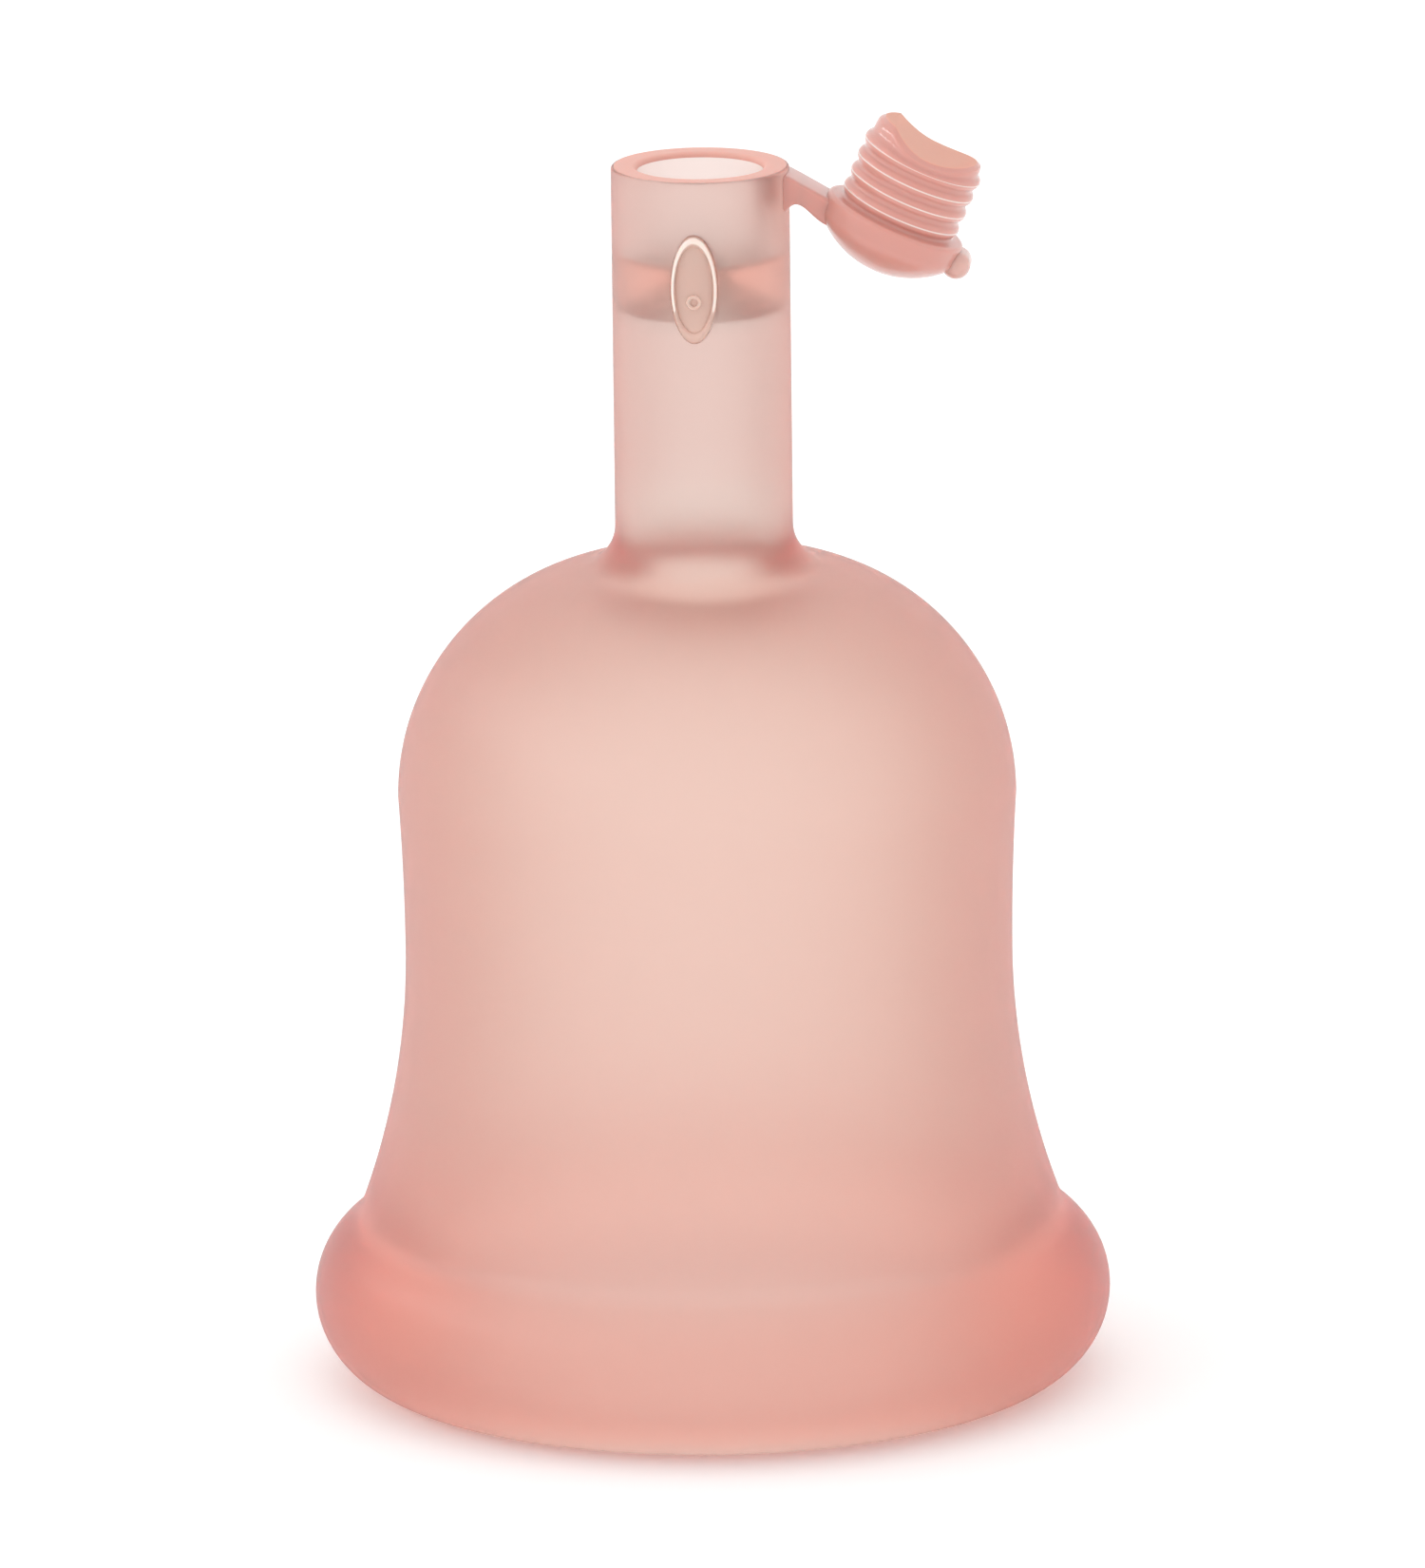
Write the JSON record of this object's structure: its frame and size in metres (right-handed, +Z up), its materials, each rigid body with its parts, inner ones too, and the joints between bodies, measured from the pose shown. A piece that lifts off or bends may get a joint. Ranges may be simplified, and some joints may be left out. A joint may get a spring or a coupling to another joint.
{
  "type": "silicone cupping cup",
  "caption": "Soft bell-shaped suction cup with a rolled rim, a hollow stem with an oval press pad and inner valve, and a ribbed stopper hanging from the stem on a short strap.",
  "frame": {"origin": "centre of the mouth, on the plane the rim rests on", "axes": "+Z up the stem from the mouth; the strap and stopper leave the stem along +X; the oval press pad faces -Y"},
  "size_m": [0.045, 0.045, 0.0726],
  "materials": {
    "silicone": "satin, translucent blush-pink silicone, deeper pink where it is thick"
  },
  "bodies": {
    "cup": {"rim_bead": "silicone", "bell_skirt": "silicone", "bell_wall": "silicone", "bell_dome": "silicone", "stem_tube": "silicone", "stem_valve": "silicone", "strap_lug": "silicone"},
    "pad": {"press_pad": "silicone", "pad_pip": "silicone"},
    "link": {"strap_link": "silicone"},
    "stopper": {"strap_tip": "silicone", "stopper_cap": "silicone", "pull_tab": "silicone", "plug_core": "silicone", "seal_rib_1": "silicone", "seal_rib_2": "silicone", "seal_rib_3": "silicone", "seal_rib_4": "silicone", "plug_tip": "silicone"}
  },
  "joints": [
    {"name": "root_fold", "type": "hinge", "parent": "cup", "child": "link", "pos_m": [0.00544, 0, 0.06915], "axis": [0, -1, 0], "range_deg": [0, 136], "stiffness_Nm_per_rad": 0.0008},
    {"name": "tip_fold", "type": "hinge", "parent": "link", "child": "stopper", "pos_m": [0.0062, 0, 0.06872], "axis": [0, -1, 0], "range_deg": [0, 68], "stiffness_Nm_per_rad": 0.0008},
    {"name": "pad_press", "type": "slide", "parent": "cup", "child": "pad", "axis": [0, 1, 0], "range_m": [0, 0.00035], "stiffness_N_per_m": 600}
  ]
}
